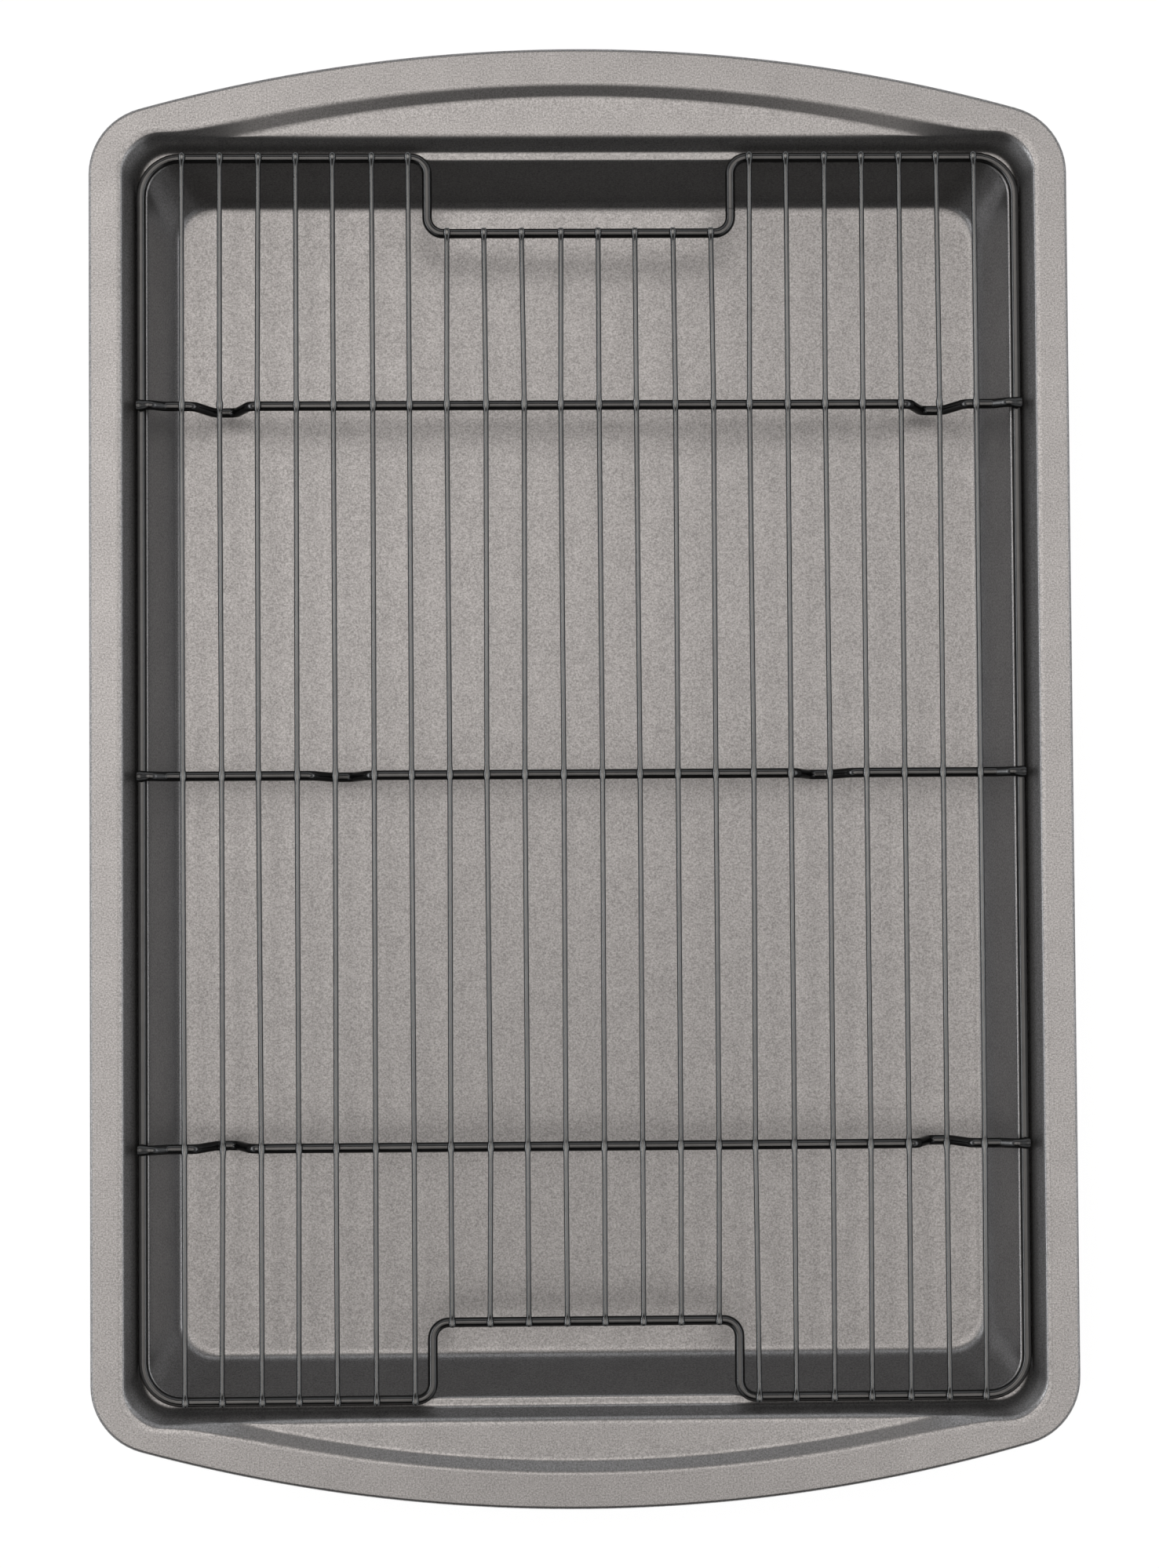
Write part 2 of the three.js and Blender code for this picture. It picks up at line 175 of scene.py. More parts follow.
class PanSizes(bpy.types.PropertyGroup):
    """Sizes of the stamped pan, on its upper face."""
    half_width: length("Half width", PAN_HIGH[0] / MM, "From the middle to the side's rolled edge")
    half_length: length("Half length", PAN_HIGH[1] / MM, "From the middle to the tip of a handle")
    height: length("Height", PAN_HIGH[2] / MM, "From the table to the top of the rim")
    sheet: length("Sheet", 0.8, "Thickness of the steel with its coating")
    well_half_width: length("Well half width", 133.25,
                            "From the middle to the ledge's inner edge, at a side")
    well_half_length: length("Well half length", 190.3,
                             "From the middle to the ledge's inner edge, at an end")
    side_wall_run: length("Side wall run", 6.65,
                          "How far a side wall leans out from floor to ledge")
    end_wall_run: length("End wall run", 9.1, "How far an end wall leans out from floor to ledge")
    ledge_width: length("Ledge width", 2.85, "Width of the ledge that carries the rack")
    ledge_drop: length("Ledge drop", 7.8, "How far the ledge lies below the rim")
    recess_drop: length("Recess drop", 2.6, "How far a handle's recess lies below the rim")
    recess_rise: length("Recess rise", 0.3, "How far the recess rises towards its step")
    recess_depth: length("Recess depth", 12.2,
                         "From the recess's inner edge to the foot of its step")
    recess_radius: length("Recess radius", 455,
                          "Radius of the curve that the foot of the step follows")
    step_run: length("Step run", 3.8, "How far the step leans out from its foot to the rim")
    upper_wall_run: length("Upper wall run", 3.4,
                           "How far an end wall leans out from ledge to recess")
    side_low_run: length("Side low run", 1.9,
                         "How far a side wall has leaned out at its lower turn")
    side_low_rise: length("Side low rise", 3.9, "How far that turn lies above the ledge")
    side_high_run: length("Side high run", 3.75,
                          "How far a side wall has leaned out at its upper turn")
    side_high_rise: length("Side high rise", 6.7, "How far that turn lies above the ledge")
    rim_wall_run: length("Rim wall run", 1, "How far the wall leans out from recess level to rim")
    end_radius: length("End radius", 505, "Radius of a handle's bowed edge")
    outer_corner: length("Outer corner", 21, "Radius of the rim's outer corners")
    rim_corner: length("Rim corner", 12, "Radius of the rim's inner corners")
    ledge_corner: length("Ledge corner", 11, "Radius of the ledge's corners")
    floor_corner: length("Floor corner", 13, "Radius of the floor's corners")
    floor_ease: length("Floor ease", 3, "Reach of the curve between floor and wall")
    ledge_edge_ease: length("Ledge edge ease", 1, "Reach of the curve at the ledge's inner edge")
    ledge_root_ease: length("Ledge root ease", 1,
                            "Reach of the curve where the ledge meets the wall")
    recess_edge_ease: length("Recess edge ease", 1.8,
                             "Reach of the curve at the recess's inner edge")
    step_foot_ease: length("Step foot ease", 0.7, "Reach of the curve at the foot of the step")
    step_top_ease: length("Step top ease", 1, "Reach of the curve where the step meets the rim")
    rim_ease: length("Rim ease", 0.35, "Reach of the curve at the rim's inner edge")
    crown_run: length("Crown run", 1.3,
                      "Width of the strip along that edge which falls gently inwards")
    crown_drop: length("Crown drop", 0.4, "How far that strip falls")
    crown_ease: length("Crown ease", 0.45,
                       "Reach of the curve between that strip and the flat of the rim")
    blend: length("Blend", 1.4, "How softly the recess runs out into the wall")
    run_out: length("Run out", 2,
                    "Width of the step below which an end wall turns into a side wall")
    hem: length("Hem", 3.4, "Width and height of the edge that is rolled under")
    hem_bend: length("Hem bend", 1.0, "Outer radius of the rolled edge's bends")


class RackSizes(bpy.types.PropertyGroup):
    """Sizes of the wire rack."""
    frame_wire: length("Frame wire", 3, "Thickness of the frame's wire")
    support_wire: length("Support wire", 3, "Thickness of the three cross wires")
    grid_wire: length("Grid wire", 1.6, "Thickness of the grid's wires")
    frame_corner: length("Frame corner", 12, "Bend of the frame's corners")
    notch_half_width: length("Notch half width", 46.9,
                             "From the middle to a leg of the finger notch")
    notch_depth: length("Notch depth", 23.5, "How far the finger notch goes in")
    notch_bend: length("Notch bend", 5, "Bend of the finger notch's corners")
    seam_height: length("Seam height", 7, "From the notch's bar to the frame's butt weld")
    support_bend: length("Support bend", 3, "Bend of the cross wires")
    climb_start: length("Climb start", 127.8,
                        "From the middle to where a cross wire starts to climb")
    climb_end: length("Climb end", 131.8, "From the middle to where it reaches the frame's top")
    climb: length("Climb", 3.3, "How far a cross wire climbs onto the frame")
    support_half: length("Support half", 136.3, "From the middle to the end of a cross wire")
    outer_foot: length("Outer foot", 110.4, "From the middle to a foot of the far and near wires")
    middle_foot: length("Middle foot", 74.3, "From the middle to a foot of the middle wire")
    foot_drop: length("Foot drop", 14, "How far a foot hangs below its wire")
    foot_half_top: length("Foot half top", 8.5, "Half the width of a foot at its top")
    foot_half_bottom: length("Foot half bottom", 3.4, "Half the width of a foot at its bottom")
    weld_sink: length("Weld sink", 0.45, "How far a weld presses one wire into the other")
    weld_drift: length("Weld drift", 0.3, "How far a weld may lie beside its wire's line")


class Finishes(bpy.types.PropertyGroup):
    """Colours and gloss of the coatings."""
    pan_light: colour("Pan flake", "#a4a3a3", "The bright flakes of the pan's coating")
    pan_dark: colour("Pan ground", "#787777", "The ground between the flakes")
    pan_roughness: share("Pan roughness", 0.33, "How dull the pan's coating is")
    # The thin wires' colours are painted light: the lighter copy of the one coating that all the
    # wires wear.
    thin_wire_lit_sheen: colour("Thin wire sheen", "#6e6f6f",
                            "The thin wires' coating where it has run thin")
    thin_wire_lit_ground: colour("Thin wire ground", "#5b5c5c", "The thin wires' coating elsewhere")
    # The thick wires' colours are painted shade: a darker copy of the one coating that all the
    # wires wear.
    thick_wire_shaded_sheen: colour("Thick wire sheen", "#545454",
                             "The thick wires' coating where it has run thin")
    thick_wire_shaded_ground: colour("Thick wire ground", "#464646", "The thick wires' coating elsewhere")
    thin_wire_flank: share("Thin wire flank", 1,
                           "How much of what lies beside it a thin wire's flank mirrors")
    # The thick wires' weaker flank mirror is painted shade as well.
    thick_wire_shaded_flank: share("Thick wire flank", 0.3,
                            "How much of what lies beside it a thick wire's flank mirrors")
    rack_roughness: share("Rack roughness", 0.2, "How dull the rack's coating is")
    floor: colour("Floor", "#f4f4f4", "The table under the pan")
    overhead_light: colour("Overhead light", "#fff9f4", "The soft lights above the pan")
    side_light: colour("Side light", "#fafcff", "The soft lights around it")


# Materials

PEEL_STRENGTH = 0.5
MADE = {}


def add_node(tree, kind, values=None, links=None, **settings):
    """Adds a node with its settings, its fixed values and what is linked to it."""
    node = tree.nodes.new(kind)
    for name, value in settings.items():
        setattr(node, name, value)
    for socket, value in (values or {}).items():
        node.inputs[socket].default_value = value
    for socket, source in (links or {}).items():
        tree.links.new(source, node.inputs[socket])
    return node


def new_material(name):
    """An empty node material, and its tree."""
    material = bpy.data.materials.new(name)
    material.use_nodes = True
    material.node_tree.nodes.clear()
    return material, material.node_tree


def noise_marks(tree, size, detail, roughness):
    """A cloudy pattern fixed to the object, with marks of a real size."""
    place = add_node(tree, "ShaderNodeTexCoord").outputs["Object"]
    noise = add_node(tree, "ShaderNodeTexNoise",
                     {"Scale": 1 / size, "Detail": detail, "Roughness": roughness},
                     {"Vector": place})
    return noise.outputs["Fac"]


def coat(tree, marks, colours, roughness, swing, relief, depth, fixed):
    """Metallic coating whose marks go from the first colour to the second and change the gloss."""
    dark, light = colours
    tint = add_node(tree, "ShaderNodeMix", {"A": (*dark, 1), "B": (*light, 1)},
                    {"Factor": marks}, data_type="RGBA")
    gloss = add_node(tree, "ShaderNodeMapRange",
                     {"To Min": roughness - swing, "To Max": roughness + swing}, {"Value": marks})
    peel = add_node(tree, "ShaderNodeBump", {"Strength": PEEL_STRENGTH, "Distance": depth},
                    {"Height": relief})
    shader = add_node(tree, "ShaderNodeBsdfPrincipled", fixed,
                      {"Base Color": tint.outputs["Result"], "Roughness": gloss.outputs["Result"],
                       "Normal": peel.outputs["Normal"]})
    add_node(tree, "ShaderNodeOutputMaterial", links={"Surface": shader.outputs["BSDF"]})


def pan_coating(finishes):
    """Baked-on non-stick coating with metal flakes, sprayed on stamped steel."""
    # It gives a satin grey that mirrors softly, with fine sparkling flakes and a faint cloudiness.
    flake_size = 0.5 * MM
    cloud_size = 9 * MM
    cloud_weight = 0.12
    darkest, lightest = 0.36, 0.76
    flake_shine = 0.04
    peel_depth = 0.012 * MM
    material, tree = new_material("nonstick_flake_coating_sprayed")
    flakes = noise_marks(tree, flake_size, detail=2, roughness=0.6)
    clouds = noise_marks(tree, cloud_size, detail=3, roughness=0.5)
    mixed = add_node(tree, "ShaderNodeMath", {1: cloud_weight}, {0: clouds, 2: flakes},
                     operation="MULTIPLY_ADD")
    spread = add_node(tree, "ShaderNodeMapRange", {"From Min": darkest, "From Max": lightest},
                      {"Value": mixed.outputs[0]})
    coat(tree, spread.outputs["Result"], (finishes.pan_dark, finishes.pan_light),
         finishes.pan_roughness, -flake_shine, flakes, peel_depth, {"Metallic": 0.92})
    return material


def dipped_coating(name, colours, roughness, flank):
    """Dark non-stick coating, dipped on drawn steel wire."""
    # It gives a smooth near-black wire with one soft bright line along it, uneven from dipping.
    ripple_size = 4 * MM
    ripple_shine = 0.06
    ripple_depth = 0.02 * MM
    material, tree = new_material(name)
    ripple = noise_marks(tree, ripple_size, detail=3, roughness=0.55)
    coat(tree, ripple, colours, roughness, ripple_shine, ripple, ripple_depth,
         {"Metallic": 0.95, "Specular Tint": (flank, flank, flank, 1)})
    return material


def thin_wire_lit_coating(finishes):
    """The dipped coating of the grid's wires, in its lighter, lit copy."""
    # Painted light: this is the lighter copy of the one coating that all the wires wear, lighter
    # where the thin grid wires catch more light.
    return dipped_coating("nonstick_dark_coating_lit_thin",
                          (finishes.thin_wire_lit_ground, finishes.thin_wire_lit_sheen),
                          finishes.rack_roughness, finishes.thin_wire_flank)


def thick_wire_shaded_coating(finishes):
    """The dipped coating of the frame and the cross wires, in its darker, painted-shade copy."""
    # Painted shade: the same coating as the thin wires, made darker and with weaker flank mirrors,
    # where the thick wires catch less light.
    return dipped_coating("nonstick_dark_coating_shaded_thick",
                          (finishes.thick_wire_shaded_ground, finishes.thick_wire_shaded_sheen),
                          finishes.rack_roughness, finishes.thick_wire_shaded_flank)


def white_table(finishes):
    """Matt white board under the pan."""
    # The eye and the metal see white paper with a faint shadow. Other light meets a pale board.
    paper_glow = 0.94
    shadow_weight = 0.1
    material, tree = new_material("white_board_matt")
    rays = add_node(tree, "ShaderNodeLightPath").outputs
    seen = rays["Is Camera Ray"]
    for ray in ("Is Glossy Ray", "Is Transmission Ray"):
        seen = add_node(tree, "ShaderNodeMath", links={0: seen, 1: rays[ray]},
                        operation="MAXIMUM").outputs[0]
    board = add_node(tree, "ShaderNodeBsdfDiffuse", {"Color": (*finishes.floor, 1)})
    glow = add_node(tree, "ShaderNodeEmission", {"Color": (1, 1, 1, 1), "Strength": paper_glow})
    shade = add_node(tree, "ShaderNodeBsdfDiffuse",
                     {"Color": (shadow_weight, shadow_weight, shadow_weight, 1)})
    paper = add_node(tree, "ShaderNodeAddShader", links={0: glow.outputs[0], 1: shade.outputs[0]})
    mixed = add_node(tree, "ShaderNodeMixShader",
                     links={0: seen, 1: board.outputs[0], 2: paper.outputs[0]})
    add_node(tree, "ShaderNodeOutputMaterial", links={"Surface": mixed.outputs[0]})
    return material


def shared_material(maker, finishes):
    """The material that a maker makes, made once."""
    name = maker.__name__
    if name not in MADE:
        MADE[name] = maker(finishes)
    return MADE[name]


# Modelling helpers

def settle(piece, name, node, body, material):
    """Names a finished piece, coats it, and puts it on its body in place of its CAD node."""
    piece.name = name
    piece.data.name = name
    piece.data.materials.clear()
    piece.data.materials.append(material)
    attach(piece, body)
    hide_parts(node)


def start_ring(sides, radius, place, heading):
    """Adds a ring of edges across a heading, all selected in edit mode."""
    bpy.ops.object.select_all(action="DESELECT")
    turn = Vector(heading).to_track_quat("Z", "Y").to_euler()
    bpy.ops.mesh.primitive_circle_add(vertices=sides, radius=radius, location=place, rotation=turn)
    bpy.ops.object.transform_apply(location=True, rotation=True, scale=True)
    bpy.ops.object.mode_set(mode="EDIT")
    bpy.ops.mesh.select_mode(type="VERT")
    bpy.ops.mesh.select_all(action="SELECT")
    return bpy.context.object


def push(move):
    """Extrudes the selected ring by a move."""
    bpy.ops.mesh.extrude_edges_move(TRANSFORM_OT_translate={"value": tuple(move)})


def select_where(piece, wanted):
    """Selects in edit mode the vertices whose place is wanted, and nothing else."""
    bpy.ops.mesh.select_all(action="DESELECT")
    mesh = bmesh.from_edit_mesh(piece.data)
    for vertex in mesh.verts:
        vertex.select_set(wanted(vertex.co))
    mesh.select_flush(True)
    bmesh.update_edit_mesh(piece.data)


def close_ends():
    """Merges what meets, fills open ends and turns the faces outwards."""
    bpy.ops.mesh.select_all(action="SELECT")
    bpy.ops.mesh.remove_doubles(threshold=MERGE)
    bpy.ops.mesh.select_all(action="DESELECT")
    bpy.ops.mesh.select_non_manifold(extend=False)
    bpy.ops.mesh.edge_face_add()
    bpy.ops.mesh.select_all(action="SELECT")
    bpy.ops.mesh.normals_make_consistent(inside=False)


def leave_smooth(angle):
    """Leaves edit mode, with faces smooth except across sharp edges."""
    bpy.ops.object.mode_set(mode="OBJECT")
    bpy.ops.object.shade_smooth_by_angle(angle=radians(angle))


# Pan

def soft_rise(value, soft):
    """Nought below nought, the value itself above it, and a soft turn between."""
    return (value + sqrt(value * value + soft * soft)) / 2


def eased(corners, eases):
    """A section through its corner points, each inner corner eased into a short curve."""
    curves = [[corners[0]]]
    for before, corner, after, ease in zip(corners, corners[1:], corners[2:], eases):
        back = before - corner
        ahead = after - corner
        first = corner + back.normalized() * min(ease, EASE_LIMIT * back.length)
        last = corner + ahead.normalized() * min(ease, EASE_LIMIT * ahead.length)
        shares = [step / EASE_STEPS for step in range(EASE_STEPS + 1)]
        curves.append([first.lerp(corner, t).lerp(corner.lerp(last, t), t) for t in shares])
    curves.append([corners[-1]])
    line = list(curves[0])
    for curve, following in zip(curves, curves[1:]):
        # Two rings beside the curves keep the flat between them flat to the eye.
        line.append(curve[-1].lerp(following[0], FLAT_MARGIN))
        line.append(curve[-1].lerp(following[0], 1 - FLAT_MARGIN))
        line.extend(following)
    return line


def rim_distance(pan):
    """How far the rim's inner edge lies out from the ledge's edge."""
    return pan.ledge_width + pan.upper_wall_run + pan.rim_wall_run


def side_turns(pan):
    """The two turns of a side wall above the ledge, which make it steeper towards the ledge."""
    ledge_z = pan.height - pan.ledge_drop
    return (Vector((pan.ledge_width + pan.side_low_run, ledge_z + pan.side_low_rise)),
            Vector((pan.ledge_width + pan.side_high_run, ledge_z + pan.side_high_rise)))


def end_turns(pan, recess, bulge):
    """The recess's edge and its step's foot, or a side wall's turns where the step runs out."""
    recess_z = pan.height - pan.recess_drop
    edge = Vector((pan.ledge_width + pan.upper_wall_run, recess_z))
    foot = Vector((edge.x + recess, recess_z + pan.recess_rise))
    open_share = min(1, bulge / pan.run_out)
    open_share *= open_share * (3 - 2 * open_share)
    return [side.lerp(end, open_share) for side, end in zip(side_turns(pan), (edge, foot))]


def pan_section(pan, wall_run, turns, bulge):
    """Upper face from floor to rim, as distances out from the ledge's edge and heights."""
    ledge_z = pan.height - pan.ledge_drop
    rim_out = rim_distance(pan) + bulge
    stepped = min(1, bulge / pan.step_run)
    rim_ease = pan.rim_ease + (pan.step_top_ease - pan.rim_ease) * stepped
    corners = [
        Vector((-wall_run - FLOOR_MARGIN * pan.floor_ease, pan.sheet)),
        Vector((-wall_run, pan.sheet)),
        Vector((0, ledge_z)),
        Vector((pan.ledge_width, ledge_z)),
        *turns,
        Vector((rim_out, pan.height - pan.crown_drop * (1 - stepped))),
        Vector((rim_out + pan.crown_run, pan.height)),
        Vector((rim_out + pan.crown_run + RIM_MARGIN * pan.crown_ease, pan.height)),
    ]
    eases = [pan.floor_ease, pan.ledge_edge_ease, pan.ledge_root_ease, pan.recess_edge_ease,
             pan.step_foot_ease, rim_ease, pan.crown_ease]
    return eased(corners, eases)


def bow(x, apex, radius):
    """How far out a handle's curve lies at x, when it lies at apex in the middle."""
    return apex - radius + sqrt(radius * radius - x * x)


def well_corner(pan, out):
    """Corner radius of the ring that lies this far out from the ledge's edge."""
    if out < 0:
        fall = min(1, -out / pan.side_wall_run)
        return pan.ledge_corner + (pan.floor_corner - pan.ledge_corner) * fall
    rise = min(1, max(0, (out - pan.ledge_width) / (rim_distance(pan) - pan.ledge_width)))
    return pan.ledge_corner + (pan.rim_corner - pan.ledge_corner) * rise


def all_round(quarter):
    """A whole ring from the quarter that runs from the middle of a side to that of an end."""
    half = quarter + [Vector((-x, y, z)) for x, y, z in reversed(quarter[:-1])]
    return half + [Vector((x, -y, z)) for x, y, z in reversed(half[1:-1])]


def well_rings(pan):
    """Rings of the upper face, from the floor to the flat of the rim."""
    recess_y = pan.well_half_length + pan.ledge_width + pan.upper_wall_run
    rim_y = pan.well_half_length + rim_distance(pan)
    foot_apex = recess_y + pan.recess_depth
    step_apex = foot_apex + pan.step_run
    step_radius = step_apex - pan.half_length + pan.end_radius
    end_reach = pan.well_half_width + rim_distance(pan) - pan.rim_corner
    side = pan_section(pan, pan.side_wall_run, side_turns(pan), 0)
    ends = []
    for column in range(END_COLUMNS + 1):
        x = end_reach * (1 - column / END_COLUMNS)
        recess = soft_rise(bow(x, foot_apex, pan.recess_radius) - recess_y, pan.blend)
        bulge = soft_rise(bow(x, step_apex, step_radius) - rim_y, pan.blend)
        ends.append(pan_section(pan, pan.end_wall_run, end_turns(pan, recess, bulge), bulge))
    rings = []
    for place, (out, z) in enumerate(side):
        half_x = pan.well_half_width + out
        half_y = pan.well_half_length + ends[0][place].x
        corner = well_corner(pan, out)
        quarter = []
        for column in range(SIDE_COLUMNS):
            quarter.append(Vector((half_x, (half_y - corner) * column / SIDE_COLUMNS, z)))
        for column in range(CORNER_COLUMNS + 1):
            turn = column / CORNER_COLUMNS
            x = half_x - corner + corner * cos(turn * pi / 2)
            y = half_y - corner + corner * sin(turn * pi / 2)
            quarter.append(Vector((x, y, z + (ends[0][place].y - z) * turn)))
        for column in range(1, END_COLUMNS + 1):
            out_y, end_z = ends[column][place]
            x = (half_x - corner) * (1 - column / END_COLUMNS)
            quarter.append(Vector((x, pan.well_half_length + out_y, end_z)))
        rings.append(all_round(quarter))
    return rings


def outer_ring(pan, inset, z):
    """Ring that lies this far inside the pan's outer edge."""
    centre_y = pan.half_length - pan.end_radius
    corner = pan.outer_corner - inset
    radius = pan.end_radius - inset
    corner_x = pan.half_width - pan.outer_corner
    reach = sqrt((radius - corner) ** 2 - corner_x ** 2)
    turn = atan2(reach, corner_x)
    corner_y = centre_y + reach
    quarter = []
    for column in range(SIDE_COLUMNS):
        quarter.append(Vector((pan.half_width - inset, corner_y * column / SIDE_COLUMNS, z)))
    for column in range(CORNER_COLUMNS + 1):
        angle = turn * column / CORNER_COLUMNS
        quarter.append(Vector((corner_x + corner * cos(angle), corner_y + corner * sin(angle), z)))
    for column in range(1, END_COLUMNS + 1):
        x = radius * cos(turn) * (1 - column / END_COLUMNS)
        quarter.append(Vector((x, bow(x, pan.half_length - inset, radius), z)))
    return all_round(quarter)


def rim_rings(pan):
    """Rings of the rim's outer part and of its hem, which turns down, under and up again."""
    bend = pan.hem_bend
    low = pan.height - pan.hem + bend
    centres = [(bend, pan.height - bend), (bend, low), (pan.hem - bend, low)]
    rings = [outer_ring(pan, HEM_MARGIN * bend, pan.height)]
    for quarter, (inset, z) in enumerate(centres):
        for step in range(HEM_STEPS + 1):
            turn = (quarter + step / HEM_STEPS) * pi / 2
            rings.append(outer_ring(pan, inset - bend * sin(turn), z + bend * cos(turn)))
    return rings


class BAKEWARE_OT_stamp_pan(bpy.types.Operator):
    """Stamps the pan from one sheet: floor, walls, ledge, rim, handles and rolled edge"""
    bl_idname = "bakeware.stamp_pan"
    bl_label = "Stamp Pan"

    def execute(self, context):
        pan = context.scene.bakeware_pan
        rings = well_rings(pan) + rim_rings(pan)
        columns = len(rings[0])
        piece = start_ring(columns, pan.half_width, (0, 0, 0), (0, 0, 1))
        for _ in rings[1:]:
            push((0, 0, RING_STEP))
        bpy.ops.object.mode_set(mode="OBJECT")
        # A straight tube so far: each ring is laid on its outline, found by height and turn.
        for vertex in piece.data.vertices:
            ring = rings[round(vertex.co.z / RING_STEP)]
            turn = atan2(vertex.co.y, vertex.co.x) / (2 * pi)
            vertex.co = ring[round(turn * columns) % columns]
        bpy.ops.object.mode_set(mode="EDIT")
        self.fill_floor(piece, rings[0])
        bpy.ops.object.mode_set(mode="OBJECT")
        bpy.ops.object.modifier_add(type="SOLIDIFY")
        wall = piece.modifiers[-1]
        wall.thickness = pan.sheet
        wall.offset = -1
        wall.use_even_offset = True
        wall.use_quality_normals = True
        bpy.ops.object.modifier_apply(modifier=wall.name)
        bpy.ops.object.shade_smooth_by_angle(angle=radians(PAN_SHARP))
        settle(piece, "pan_stamped", "pan", "pan",
               shared_material(pan_coating, context.scene.bakeware_finishes))
        return {"FINISHED"}

    def fill_floor(self, piece, ring):
        """Fills the innermost ring and turns the whole upper face upwards."""
        reach_x = ring[0].x + MERGE
        reach_y = max(place.y for place in ring) + MERGE
        select_where(piece, lambda place: abs(place.z - ring[0].z) < MERGE
                     and abs(place.x) <= reach_x and abs(place.y) <= reach_y)
        bpy.ops.mesh.edge_face_add()
        bpy.ops.mesh.select_all(action="SELECT")
        bpy.ops.mesh.normals_make_consistent(inside=False)
        floor = max(bmesh.from_edit_mesh(piece.data).faces, key=lambda face: face.calc_area())
        if floor.normal.z < 0:
            bpy.ops.mesh.flip_normals()


# Rack

def draw_wire(thickness, corners, bends):
    """Draws a wire along straights and round bends, as a wire former does, in edit mode."""
    legs = [after - before for before, after in zip(corners, corners[1:])]
    turns = [before.angle(after) for before, after in zip(legs, legs[1:])]
    trims = [0] + [bend * tan(turn / 2) for bend, turn in zip(bends, turns)] + [0]
    piece = start_ring(WIRE_SIDES, thickness / 2, corners[0], legs[0])
    for index, leg in enumerate(legs):
        way = leg.normalized()
        push(way * (leg.length - trims[index] - trims[index + 1]))
        if index == len(turns) or turns[index] < STRAIGHT:
            continue
        onward = legs[index + 1].normalized()
        inward = (onward - way * way.dot(onward)).normalized()
        centre = corners[index + 1] - way * trims[index + 1] + inward * bends[index]
        # With no window a spin turns against its axis, so the angle is negative.
        steps = max(LEAST_BEND_STEPS, round(BEND_STEPS * turns[index] / (pi / 2)))
        bpy.ops.mesh.spin(steps=steps, angle=-turns[index], center=centre, axis=way.cross(onward))
    close_ends()
    return piece


def press_ring(piece, place, way, wide, tall, sink):
    """Flattens the ring of a wire at a place, as a weld or a shear does, and sinks it."""
    across = Vector((0, 0, 1)).cross(way)
    select_where(piece, lambda spot: abs((spot - place).dot(way)) < MERGE
                 and (spot - place).length < RING_REACH)
    scale = [1 + (wide - 1) * abs(across.x), 1 + (wide - 1) * abs(across.y), tall]
    bpy.ops.transform.resize(value=scale, center_override=place)
    bpy.ops.transform.translate(value=(0, 0, -sink))


class BAKEWARE_OT_bend_rack_frame(bpy.types.Operator):
    """Bends the rack's frame from one thick wire, with two finger notches and a butt weld"""
    bl_idname = "bakeware.bend_rack_frame"
    bl_label = "Bend Rack Frame"

    def execute(self, context):
        rack = context.scene.bakeware_rack
        flat_half = (FRAME_HIGH.z - FRAME_LOW.z) / 2
        half_x = FRAME_HIGH.x - flat_half
        half_y = FRAME_HIGH.y - flat_half
        notch_x = rack.notch_half_width
        notch_y = half_y - rack.notch_depth
        z = FRAME_LOW.z + flat_half
        seam = Vector((notch_x, notch_y + rack.seam_height, z))
        flash = Vector((0, SEAM_REACH, 0))
        round_bends = [rack.notch_bend, rack.frame_corner, rack.frame_corner,
                       rack.notch_bend, rack.notch_bend]
        places = [(notch_x, half_y), (half_x, half_y), (half_x, -half_y),
                  (notch_x, -half_y), (notch_x, -notch_y)]
        corners = [Vector((x, y, z)) for x, y in places]
        corners += [Vector((-x, y, z)) for x, y in reversed(places)]
        corners += [Vector((-notch_x, notch_y, z)), Vector((notch_x, notch_y, z))]
        corners = [seam, seam + flash, seam + 2 * flash] + corners
        corners += [seam - 2 * flash, seam - flash, seam]
        bends = [0, 0] + round_bends + round_bends[::-1] + [rack.notch_bend] * 2 + [0, 0]
        piece = draw_wire(rack.frame_wire, corners, bends)
        press_ring(piece, seam, Vector((0, 1, 0)), SEAM_SWELL, SEAM_SWELL, 0)
        leave_smooth(WIRE_SHARP)
        settle(piece, "rack_frame_bent", "rack_frame", "rack",
               shared_material(thick_wire_shaded_coating, context.scene.bakeware_finishes))
        return {"FINISHED"}


class BAKEWARE_OT_bend_support_wires(bpy.types.Operator):
    """Bends the three cross wires, each with two feet and with ends that climb onto the frame"""
    bl_idname = "bakeware.bend_support_wires"
    bl_label = "Bend Support Wires"

    def execute(self, context):
        rack = context.scene.bakeware_rack
        material = shared_material(thick_wire_shaded_coating, context.scene.bakeware_finishes)
        for node in SUPPORT_NODES:
            foot = rack.middle_foot if node == "support_wire_middle" else rack.outer_foot
            piece = self.bend(rack, foot, middle(node).y)
            settle(piece, node + "_bent", node, "rack", material)
        return {"FINISHED"}

    def bend(self, rack, foot, y):
        """One cross wire with its feet at this distance from the middle."""
        z = (FRAME_LOW.z + FRAME_HIGH.z) / 2
        top = z + rack.climb
        bottom = z - rack.foot_drop
        end = rack.support_half
        half = [(end - back * MM, top) for back, *_ in PRESSED_END]
        half += [
            (rack.climb_end, top), (rack.climb_start, z),
            (foot + rack.foot_half_top, z), (foot + rack.foot_half_bottom, bottom),
            (foot - rack.foot_half_bottom, bottom), (foot - rack.foot_half_top, z),
        ]
        bends = [0, 0] + [rack.support_bend] * 6
        corners = [Vector((-x, y, h)) for x, h in half]
        corners += [Vector((x, y, h)) for x, h in reversed(half)]
        piece = draw_wire(rack.support_wire, corners, bends + bends[::-1])
        for side in (-1, 1):
            for back, wide, tall, sink in PRESSED_END:
                place = Vector((side * (end - back * MM), y, top))
                press_ring(piece, place, Vector((1, 0, 0)), wide, tall, sink * MM)
        leave_smooth(WIRE_SHARP)
        return piece


